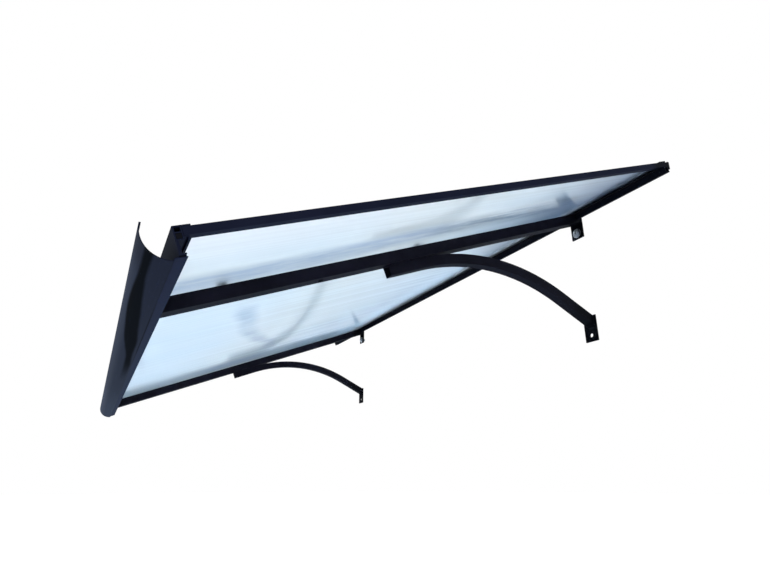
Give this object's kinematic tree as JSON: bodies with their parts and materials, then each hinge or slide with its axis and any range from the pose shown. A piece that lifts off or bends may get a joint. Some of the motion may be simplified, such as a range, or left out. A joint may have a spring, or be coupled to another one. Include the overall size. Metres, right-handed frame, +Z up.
{
  "type": "door canopy",
  "caption": "Sloping door canopy: a twin-wall polycarbonate sheet in a dark metal frame on two wall brackets with curved tube arms, and an open gutter along the front.",
  "frame": {"origin": "the middle of the wall line, where the plane of the sheet's underside meets the wall face", "axes": "+X along the wall, to the right of a person who faces it; +Y into the wall; +Z up"},
  "size_m": [1.6, 0.9121, 0.3842],
  "materials": {
    "polycarbonate": "clear twin-wall sheet, glossy",
    "frame_extrusion": "dark powder coat, satin",
    "gutter_sheet": "dark paint, glossy",
    "bracket_steel": "dark powder coat, satin",
    "zinc": "zinc plated, dull",
    "rubber": "matt black"
  },
  "bodies": {
    "root": {"arm_left": "bracket_steel", "arm_right": "bracket_steel", "bedding_tape_left": "rubber", "bedding_tape_right": "rubber", "edge_channel_left": "frame_extrusion", "edge_channel_right": "frame_extrusion", "front_rail": "frame_extrusion", "front_rail_plug_left": "rubber", "front_rail_plug_right": "rubber", "front_sheet_seal": "rubber", "gutter": "gutter_sheet", "gutter_tape": "rubber", "lower_wall_plate_left": "bracket_steel", "lower_wall_plate_right": "bracket_steel", "rafter_left": "bracket_steel", "rafter_right": "bracket_steel", "rear_rail": "frame_extrusion", "rear_sheet_seal": "rubber", "roof_screw_left_1": "zinc", "roof_screw_left_2": "zinc", "roof_screw_left_3": "zinc", "roof_screw_right_1": "zinc", "roof_screw_right_2": "zinc", "roof_screw_right_3": "zinc", "sealing_washer_left_1": "rubber", "sealing_washer_left_2": "rubber", "sealing_washer_left_3": "rubber", "sealing_washer_right_1": "rubber", "sealing_washer_right_2": "rubber", "sealing_washer_right_3": "rubber", "sheet": "polycarbonate", "upper_wall_plate_left": "bracket_steel", "upper_wall_plate_right": "bracket_steel", "wall_bolt_left": "zinc", "wall_bolt_right": "zinc", "wall_seal_left": "rubber", "wall_seal_middle": "rubber", "wall_seal_right": "rubber", "wall_washer_left": "zinc", "wall_washer_right": "zinc"}
  },
  "joints": []
}
